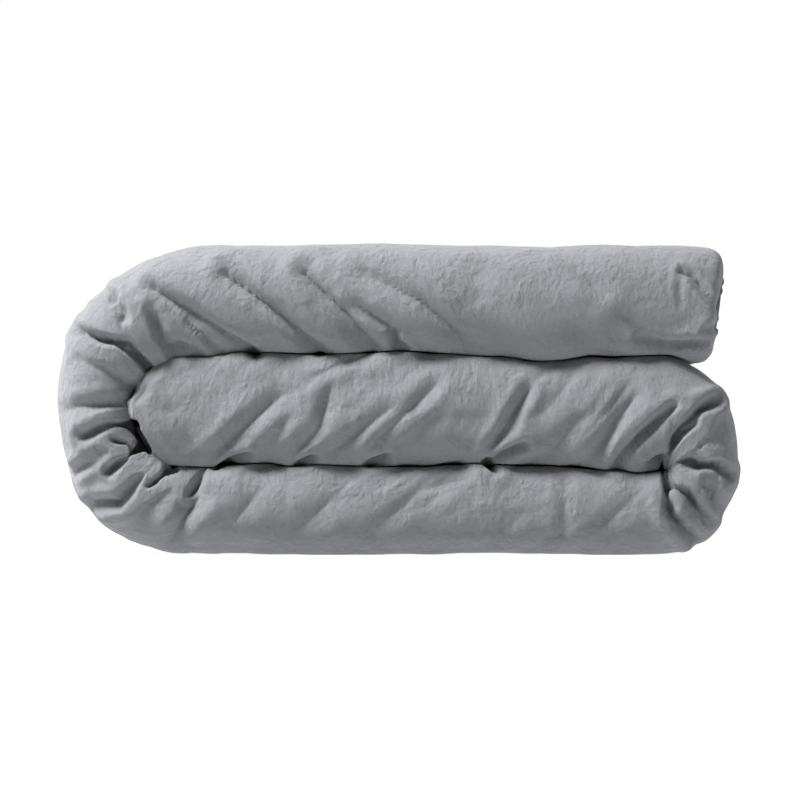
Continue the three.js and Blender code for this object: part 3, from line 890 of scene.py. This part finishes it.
class Recipe:
    """The nodes of one material."""

    def __init__(self, name):
        self.material = bpy.data.materials.new(name)
        self.material.use_nodes = True
        self.tree = self.material.node_tree
        self.shader = self.tree.nodes["Principled BSDF"]

    def node(self, kind, settings=None, sockets=None, output=0):
        """Adds a node, sets it, feeds its sockets with values or links, and returns an output."""
        node = self.tree.nodes.new(kind)
        for key, value in (settings or {}).items():
            setattr(node, key, value)
        for key, value in (sockets or {}).items():
            self.feed(node.inputs[key], value)
        return Term(self, node.outputs[output])

    def feed(self, socket, value):
        """Links a term to a socket, or sets the socket to a value."""
        if isinstance(value, Term):
            self.tree.links.new(value.socket, socket)
        else:
            socket.default_value = value

    def finish(self, **values):
        """Sets the shader's sockets, whose names are written with underscores."""
        for key, value in values.items():
            self.feed(self.shader.inputs[key.replace("_", " ")], value)
        return self.material

    def noise(self, place, scale, detail=2.0, roughness=0.5, distortion=0.0):
        return self.node("ShaderNodeTexNoise", None, {
            "Vector": place, "Scale": scale, "Detail": detail, "Roughness": roughness,
            "Distortion": distortion}, "Fac")

    def facets(self, place):
        """A surface crumpled into flat facets with straight edges."""
        return self.node("ShaderNodeTexVoronoi", {"feature": "F1"}, {
            "Vector": place, "Scale": 1.0, "Randomness": 1.0}, "Distance")

    def ridges(self, place):
        """Thin branching creases, sharp where smooth noise crosses its middle."""
        height = self.noise(place, 1.0, 2.0, 0.5, 0.4) - 0.5
        return self.node("ShaderNodeMath", {"operation": "ABSOLUTE"}, {0: height})

    def stretched(self, place, scale):
        return self.node("ShaderNodeVectorMath", {"operation": "MULTIPLY"}, {0: place, 1: scale})

    def mixed(self, share, first, second):
        return self.node("ShaderNodeMix", {"data_type": "RGBA"},
                         {"Factor": share, 6: first, 7: second}, 2)

    def bump(self, height, strength, distance, normal=None):
        sockets = {"Height": height, "Strength": strength, "Distance": distance}
        if normal:
            sockets["Normal"] = normal
        return self.node("ShaderNodeBump", None, sockets)


def shade(colour, amount):
    """A colour made lighter or darker, with its alpha."""
    return (*(channel * amount for channel in colour), 1.0)


def percale(name, colour, crumple=1.0):
    """Washed cotton: a plain weave with uneven yarns, faintly mottled and finely crumpled."""
    recipe = Recipe(name)
    place = recipe.node("ShaderNodeAttribute", {"attribute_name": "cloth_place"}, None, "Vector")
    warp = recipe.noise(recipe.stretched(place, (120, 2600, 1)), 1, 1)
    weft = recipe.noise(recipe.stretched(place, (2600, 120, 1)), 1, 1)
    weave = warp + weft
    mottle = recipe.noise(place, 190, 3, 0.65)
    wander = recipe.node("ShaderNodeTexNoise", None, {"Vector": place, "Scale": 22.0,
                                                      "Detail": 2.0}, "Color")
    bent = recipe.node("ShaderNodeVectorMath", {"operation": "MULTIPLY_ADD"},
                       {0: wander, 1: (0.02, 0.02, 0), 2: place})
    facets = recipe.facets(recipe.stretched(bent, (42, 60, 1)))
    small_facets = recipe.facets(recipe.stretched(bent, (125, 100, 1)))
    broad = recipe.noise(place, 24, 3, 0.55, 0.6)
    tone = recipe.mixed(mottle * 0.5 + weave * 0.32, shade(colour, 0.86), shade(colour, 1.13))
    fine = recipe.bump(weave, 0.6, 0.0011)
    pucker = recipe.bump(mottle, 0.5 * crumple, 0.0028, fine)
    facet_bump = recipe.bump(facets + small_facets * 0.6, 0.5 * crumple, 0.0018, pucker)
    lines = recipe.ridges(recipe.stretched(bent, (26, 38, 1)))
    small_lines = recipe.ridges(recipe.stretched(bent, (80, 62, 1)))
    patches = broad * broad * 3
    folds = recipe.bump((lines + small_lines * 0.5) * patches, 0.8 * crumple, 0.006, facet_bump)
    soft = recipe.bump(broad, 0.5 * crumple, 0.006, folds)
    return recipe.finish(Base_Color=tone, Roughness=mottle * 0.12 + 0.84, Normal=soft,
                         Sheen_Weight=0.25, Sheen_Roughness=0.5, Specular_IOR_Level=0.25)


def down_proof(name, colour):
    """The insert's own close cotton, smooth and slightly shiny."""
    recipe = Recipe(name)
    place = recipe.node("ShaderNodeAttribute", {"attribute_name": "cloth_place"}, None, "Vector")
    mottle = recipe.noise(place, 150, 3, 0.6)
    tone = recipe.mixed(mottle, shade(colour, 0.93), shade(colour, 1.05))
    return recipe.finish(Base_Color=tone, Roughness=mottle * 0.1 + 0.6,
                         Normal=recipe.bump(mottle, 0.25, 0.002))


def loose_fill(name, colour):
    """Carded fibre: soft, tangled and matt."""
    recipe = Recipe(name)
    place = recipe.node("ShaderNodeTexCoord", None, None, "Object")
    tangle = recipe.noise(place, 260, 6, 0.75, 1.8)
    tone = recipe.mixed(tangle, shade(colour, 0.8), shade(colour, 1.05))
    return recipe.finish(Base_Color=tone, Roughness=1.0, Normal=recipe.bump(tangle, 0.8, 0.004),
                         Sheen_Weight=0.4)


def woven_tape(name, colour, pitch):
    """A narrow tape, ribbed across its length."""
    recipe = Recipe(name)
    place = recipe.node("ShaderNodeTexCoord", None, None, "Object")
    ribs = recipe.node("ShaderNodeTexWave", {"bands_direction": "Y"}, {
        "Vector": place, "Scale": 1 / pitch, "Distortion": 1.5, "Detail": 1.0}, "Fac")
    tone = recipe.mixed(ribs, shade(colour, 0.85), shade(colour, 1.05))
    return recipe.finish(Base_Color=tone, Roughness=ribs * 0.1 + 0.8,
                         Normal=recipe.bump(ribs, 0.4, 0.0004))


def polished_button(name, colour):
    """A resin button with faint clouding."""
    recipe = Recipe(name)
    place = recipe.node("ShaderNodeTexCoord", None, None, "Object")
    cloud = recipe.noise(place, 420, 3, 0.6, 1.2)
    tone = recipe.mixed(cloud, shade(colour, 0.8), shade(colour, 1.3))
    return recipe.finish(Base_Color=tone, Roughness=cloud * 0.15 + 0.25,
                         Normal=recipe.bump(cloud, 0.1, 0.0005))


# ---- The hems, buttons, ties and label ---------------------------------------------------------

HEM_ROWS = 8
HEM_DEPTH = 24 * MM
SEAM_DEPTH = 7 * MM


def hem_points(back):
    """A hem's grid at the foot end, following the end of the face cloth."""
    base, cloth, rows, _ = cover_face()
    step = bpy.context.scene.duvet_sizes.thread_step
    shift = cloth - base
    last = rows[-1]
    hems = np.repeat(last[None], HEM_ROWS, 0)
    offsets = np.linspace(-HEM_DEPTH, 1.5 * MM, HEM_ROWS)
    hems[:, 0] += offsets
    hems[:, 2] += offsets
    hems[:, 4] = 0.03
    end_shift = np.repeat(shift[-1:], HEM_ROWS, 0)
    if back:
        y, depth = back_section(hems, 2 * step)
        points = lifted(hems, y, depth) + side_follow(end_shift, y.shape[1])
        normals = -outward(points)
    else:
        y, depth = face_section(hems, step, 3 * step)
        points = lifted(hems, y, depth) + end_shift * 0.9
        normals = outward(points)
    pucker = soft_noise(points.shape[:2], (2, 90), 51) * 0.7 * MM
    points[..., 0] += soft_noise(points.shape[:2], (1, 60), 52) * 1.1 * MM
    return bedded(points + normals * pucker[..., None]), normals


def closing_band():
    """The seam that closes the cover's head end, from the face cloth's edge to the back's."""
    base, cloth, rows, _ = cover_face()
    step = bpy.context.scene.duvet_sizes.thread_step
    face = cloth[0]
    back = back_points(rows[:4], (cloth - base)[:4], 3 * step)[0][0]
    shares = np.linspace(0, 1, len(back))
    wanted = np.linspace(0, 1, len(face))
    back = np.stack([np.interp(wanted, shares, column) for column in back.T], -1)
    aside = np.array([-1, 0, 0]) * SEAM_DEPTH
    inside = unit(back - face) * 1 * MM
    pucker = 0.7 + 0.5 * soft_noise((1, len(face)), (1, 40), 61)[0]
    halfway = (face + back) / 2
    handle = halfway + 2 * aside * pucker[:, None]
    share = np.linspace(0, 1, 7)[:, None, None]
    path = (1 - share) ** 2 * (face + inside) + 2 * share * (1 - share) * handle
    return bedded(path + share**2 * (back - inside))


def ribbon(name, centre, size, wave, material, node, body):
    """A flat tape or label about its centre, with a soft wave along it."""
    bm = bmesh.new()
    bmesh.ops.create_grid(bm, x_segments=6, y_segments=28, size=0.5)
    for vert in bm.verts:
        along = vert.co.y
        vert.co = Vector((vert.co.x * size[0], vert.co.y * size[1],
                          wave * math.sin(along * 9) * (1 - 2 * abs(along)) ** 0.5))
    bmesh.ops.recalc_face_normals(bm, faces=bm.faces)
    bmesh.ops.solidify(bm, geom=bm.faces[:], thickness=size[2])
    bmesh.ops.recalc_face_normals(bm, faces=bm.faces)
    placed(name, bm, Matrix.Translation(centre), material, node, body)


def tape_ring(radius, width, thickness):
    """A loop of flat tape about Y."""
    bm = bmesh.new()
    inner, half = radius - thickness, width / 2
    corners = [(inner, -half), (radius, -half * 0.9), (radius, half * 0.9), (inner, half)]
    verts = [bm.verts.new((x, y, 0)) for x, y in corners]
    bm.faces.new(verts)
    bmesh.ops.spin(bm, geom=bm.verts[:] + bm.edges[:] + bm.faces[:], cent=(0, 0, 0), axis=(0, 1, 0),
                   angle=2 * math.pi, steps=40, use_merge=True)
    bmesh.ops.remove_doubles(bm, verts=bm.verts, dist=1e-6)

    def crosses(face):
        """Whether a face cuts across the tape, so that it lies inside it."""
        middle = face.calc_center_median()
        along = Vector((-middle.z, 0, middle.x)).normalized()
        return abs(face.normal @ along) > 0.9 and len(face.verts) == 4

    hidden = [face for face in bm.faces if crosses(face)]
    bmesh.ops.delete(bm, geom=hidden, context="FACES_ONLY")
    bmesh.ops.recalc_face_normals(bm, faces=bm.faces)
    return bm


def lathe(profile, segments):
    """A round solid about Z from a profile of (radius, height) points, with its centre closed."""
    bm = bmesh.new()
    verts = [bm.verts.new((radius, 0, height)) for radius, height in profile]
    edges = [bm.edges.new(pair) for pair in zip(verts, verts[1:])]
    bmesh.ops.spin(bm, geom=verts + edges, cent=(0, 0, 0), axis=(0, 0, 1), angle=2 * math.pi,
                   steps=segments, use_merge=True)
    bmesh.ops.remove_doubles(bm, verts=bm.verts, dist=1e-6)
    bmesh.ops.recalc_face_normals(bm, faces=bm.faces)
    return bm


def placed(name, bm, matrix, material, node, body):
    """Turns a finished bmesh into a piece at its place, standing for a node of the frame."""
    bmesh.ops.transform(bm, matrix=matrix, verts=bm.verts)
    mesh = bpy.data.meshes.new(name)
    bm.to_mesh(mesh)
    bm.free()
    mesh.shade_smooth()
    mesh.materials.append(material)
    piece = linked(name, mesh)
    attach(piece, body)
    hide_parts(node)


# ---- The stage ---------------------------------------------------------------------------------


def aimed(name, data, place, target):
    """A camera or light at a place, looking at a target."""
    thing = linked(name, data)
    way = Vector(target) - Vector(place)
    thing.matrix_world = Matrix.Translation(place) @ way.to_track_quat("-Z", "Y").to_matrix().to_4x4()
    return thing


def softbox(name, place, target, size, power):
    """A rectangular studio light."""
    light = bpy.data.lights.new(name, "AREA")
    light.shape = "RECTANGLE"
    light.size, light.size_y = size
    light.energy = power
    return aimed(name, light, place, target)


def studio_world():
    """A white studio, dimmer on the side that the pile's front faces."""
    world = bpy.data.worlds.new("studio")
    world.use_nodes = True
    nodes, links = world.node_tree.nodes, world.node_tree.links
    place = nodes.new("ShaderNodeTexCoord")
    split = nodes.new("ShaderNodeSeparateXYZ")
    ramp = nodes.new("ShaderNodeMapRange")
    ramp.inputs["From Min"].default_value = -0.35
    ramp.inputs["From Max"].default_value = 0.3
    ramp.inputs["To Min"].default_value = 0.06
    ramp.inputs["To Max"].default_value = 1.0
    links.new(place.outputs["Generated"], split.inputs[0])
    links.new(split.outputs["Y"], ramp.inputs["Value"])
    links.new(ramp.outputs[0], nodes["Background"].inputs["Strength"])
    nodes["Background"].inputs["Color"].default_value = (1, 1, 1, 1)
    return world


class DuvetSizes(bpy.types.PropertyGroup):
    thread_step: FloatProperty(name="Thread step", description="Spacing of the cloth's grid at the front",
                               default=2.8 * MM, min=2 * MM, unit="LENGTH")
    settle_rounds: IntProperty(name="Settling", description="Rounds of the cloth solver", default=260,
                               min=0)
    cloth_wall: FloatProperty(name="Cloth", description="Thickness of the cover's cloth",
                              default=0.7 * MM, unit="LENGTH")


class DuvetColours(bpy.types.PropertyGroup):
    cover: FloatVectorProperty(name="Cover", description="Colour of the cover", subtype="COLOR",
                               default=(0.202, 0.206, 0.221), min=0, max=1)
    inside: FloatVectorProperty(name="Cover back", description="Colour of the cover's back cloth",
                                subtype="COLOR", default=(0.19, 0.194, 0.208), min=0, max=1)
    insert: FloatVectorProperty(name="Insert", description="Colour of the insert's shell",
                                subtype="COLOR", default=(0.80, 0.79, 0.76), min=0, max=1)
    fill: FloatVectorProperty(name="Fill", description="Colour of the insert's filling",
                              subtype="COLOR", default=(0.90, 0.89, 0.87), min=0, max=1)
    button: FloatVectorProperty(name="Buttons", description="Colour of the buttons", subtype="COLOR",
                                default=(0.20, 0.205, 0.22), min=0, max=1)
    tape: FloatVectorProperty(name="Tape", description="Colour of the ties and loops",
                              subtype="COLOR", default=(0.72, 0.70, 0.66), min=0, max=1)
    floor: FloatVectorProperty(name="Floor", description="Colour of the floor", subtype="COLOR",
                               default=(0.16, 0.16, 0.16), min=0, max=1)


class DUVET_OT_cover_face(bpy.types.Operator):
    """Lay the cover's face cloth round the folded duvet"""

    bl_idname = "duvet.cover_face"
    bl_label = "Cover face"

    def execute(self, context):
        base, cloth, _, rows_at = cover_face()
        cloth = bedded(cloth)
        material = percale("washed percale", context.scene.duvet_colours.cover)
        cut_up("cover_face", cloth, outward(cloth), cloth_place(base), rows_at,
               context.scene.duvet_sizes.cloth_wall, material)
        return {"FINISHED"}


class DUVET_OT_cover_back(bpy.types.Operator):
    """Lay the cover's back cloth between the two plies"""

    bl_idname = "duvet.cover_back"
    bl_label = "Cover back"

    def execute(self, context):
        base, cloth, rows, rows_at = cover_face()
        sizes = context.scene.duvet_sizes
        points, normals = back_points(rows, cloth - base, 3 * sizes.thread_step)
        points = bedded(points)
        material = percale("washed percale inside", context.scene.duvet_colours.inside)
        cut_up("cover_back", points, normals, cloth_place(points), rows_at, sizes.cloth_wall,
               material)
        return {"FINISHED"}


class DUVET_OT_insert_shell(bpy.types.Operator):
    """Fit the insert's stitched shell inside the cover"""

    bl_idname = "duvet.insert_shell"
    bl_label = "Insert shell"

    def execute(self, context):
        material = down_proof("down proof cotton", context.scene.duvet_colours.insert)
        insert_pieces("insert_shell", 4 * MM, 9 * MM, material)
        return {"FINISHED"}


class DUVET_OT_insert_fill(bpy.types.Operator):
    """Fill the insert's chambers"""

    bl_idname = "duvet.insert_fill"
    bl_label = "Insert fill"

    def execute(self, context):
        material = loose_fill("loose fill", context.scene.duvet_colours.fill)
        insert_pieces("insert_fill", 6.5 * MM, 8.5 * MM, material)
        return {"FINISHED"}


class DUVET_OT_foot_hems(bpy.types.Operator):
    """Turn the two hems that close the foot end, and the seam at the head end"""

    bl_idname = "duvet.foot_hems"
    bl_label = "Foot hems and head seam"

    def execute(self, context):
        colours = context.scene.duvet_colours
        for node, back, colour in (("foot_hem_face", False, colours.cover),
                                   ("foot_hem_back", True, colours.inside)):
            points, normals = hem_points(back)
            piece = cloth_mesh(f"{node}_cloth", points, normals, cloth_place(points), 1.6 * MM)
            piece.data.materials.append(percale(f"{node} percale", colour))
            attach(piece, BODIES[-1])
            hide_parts(node)
        band = closing_band()
        piece = cloth_mesh("head_seam_cloth", band, -outward(band), cloth_place(band), 1 * MM)
        piece.data.materials.append(percale("seam percale", colours.cover))
        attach(piece, BODIES[0])
        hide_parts("head_seam")
        return {"FINISHED"}


class DUVET_OT_buttons(bpy.types.Operator):
    """Make the buttons along the back hem"""

    bl_idname = "duvet.buttons"
    bl_label = "Buttons"

    def execute(self, context):
        material = polished_button("clouded resin", context.scene.duvet_colours.button)
        for node in (name for name in frame["nodes"] if name.startswith("button")):
            low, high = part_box(node)
            size = high - low
            radius, thick = max(size) / 2, min(size)
            profile = [(0, 0), (0.82 * radius, 0), (0.97 * radius, 0.25 * thick), (radius, 0.5 * thick),
                       (0.96 * radius, 0.85 * thick), (0.86 * radius, thick), (0.76 * radius, 0.9 * thick),
                       (0.68 * radius, 0.66 * thick), (0, 0.6 * thick)]
            bm = lathe(profile, 32)
            turn = {"fold": Matrix.Rotation(-math.pi / 2, 4, "X"), "lower": Matrix.Identity(4),
                    "upper": Matrix.Rotation(math.pi, 4, "X")}[node.split("_")[1]]
            middle = (low + high) / 2 - Vector((END_SET_BACK / 2, 0, 0))
            sunk = Matrix.Translation((0, 0, -thick / 2))
            placed(f"{node}_resin", bm, Matrix.Translation(middle) @ turn @ sunk, material, node,
                   BODIES[-1])
        return {"FINISHED"}


class DUVET_OT_ties(bpy.types.Operator):
    """Fit the corner ties, the insert's loops and the care label"""

    bl_idname = "duvet.ties"
    bl_label = "Ties, loops and label"

    def execute(self, context):
        colours = context.scene.duvet_colours
        tape = woven_tape("herringbone tape", colours.tape, 1.4 * MM)
        satin = woven_tape("label satin", colours.insert, 0.8 * MM)
        for corner in ("head_lower", "head_upper", "foot_lower", "foot_upper"):
            body = BODIES[0] if corner.startswith("head") else BODIES[-1]
            low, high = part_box(f"corner_tie_{corner}")
            size = high - low
            ribbon(f"corner_tie_{corner}_tape", (low + high) / 2, size, 0.8 * MM, tape,
                   f"corner_tie_{corner}", body)
            low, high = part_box(f"insert_loop_{corner}")
            size = high - low
            bm = tape_ring(size.x / 2, size.y, 1.2 * MM)
            placed(f"insert_loop_{corner}_tape", bm, Matrix.Translation((low + high) / 2), tape,
                   f"insert_loop_{corner}", body)
        low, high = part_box("care_label")
        ribbon("care_label_satin", (low + high) / 2, high - low, 0.4 * MM, satin, "care_label",
               BODIES[-1])
        return {"FINISHED"}


class DUVET_OT_stage(bpy.types.Operator):
    """Set the camera, the floor and the studio lights"""

    bl_idname = "duvet.stage"
    bl_label = "Stage"

    def execute(self, context):
        scene = context.scene
        camera = bpy.data.cameras.new("camera")
        camera.sensor_width = 36
        away = 4.0
        camera.lens = 36 * away / 0.8272
        eye = (0, FRONT - away, 0.1613)
        scene.camera = aimed("camera", camera, eye, (0, 0, eye[2]))
        bm = bmesh.new()
        bmesh.ops.create_grid(bm, x_segments=1, y_segments=1, size=30)
        mesh = bpy.data.meshes.new("floor")
        bm.to_mesh(mesh)
        bm.free()
        floor = linked("floor", mesh)
        recipe = Recipe("floor")
        mesh.materials.append(recipe.finish(
            Base_Color=shade(scene.duvet_colours.floor, 1), Roughness=0.9,
            Emission_Color=(1.0, 1.0, 1.0, 1.0), Emission_Strength=0.92))
        scene.world = studio_world()
        scene.view_settings.view_transform = "Standard"
        softbox("key", (-1.7, -1.1, 2.5), (0, -0.2, 0.1), (0.9, 0.7), 212)
        softbox("rim", (-2.2, 0.3, 1.0), (0, 0, 0.2), (1.0, 1.4), 12)
        return {"FINISHED"}


class DUVET_PT_panel(bpy.types.Panel):
    bl_label = "Folded duvet"
    bl_idname = "DUVET_PT_panel"
    bl_space_type = "VIEW_3D"
    bl_region_type = "UI"
    bl_category = "Duvet"

    def draw(self, context):
        for maker in MAKERS:
            self.layout.operator(maker.bl_idname)


MAKERS = [DUVET_OT_cover_face, DUVET_OT_cover_back, DUVET_OT_insert_shell, DUVET_OT_insert_fill,
          DUVET_OT_foot_hems, DUVET_OT_buttons, DUVET_OT_ties, DUVET_OT_stage]
CLASSES = [DuvetSizes, DuvetColours, *MAKERS, DUVET_PT_panel]


def register():
    for cls in CLASSES:
        bpy.utils.register_class(cls)
    bpy.types.Scene.duvet_sizes = PointerProperty(type=DuvetSizes)
    bpy.types.Scene.duvet_colours = PointerProperty(type=DuvetColours)


def unregister():
    del bpy.types.Scene.duvet_sizes
    del bpy.types.Scene.duvet_colours
    for cls in reversed(CLASSES):
        bpy.utils.unregister_class(cls)


def main():
    register()
    bpy.ops.duvet.cover_face()
    bpy.ops.duvet.cover_back()
    bpy.ops.duvet.insert_shell()
    bpy.ops.duvet.insert_fill()
    bpy.ops.duvet.foot_hems()
    bpy.ops.duvet.buttons()
    bpy.ops.duvet.ties()
    bpy.ops.duvet.stage()


if __name__ == "__main__":
    main()
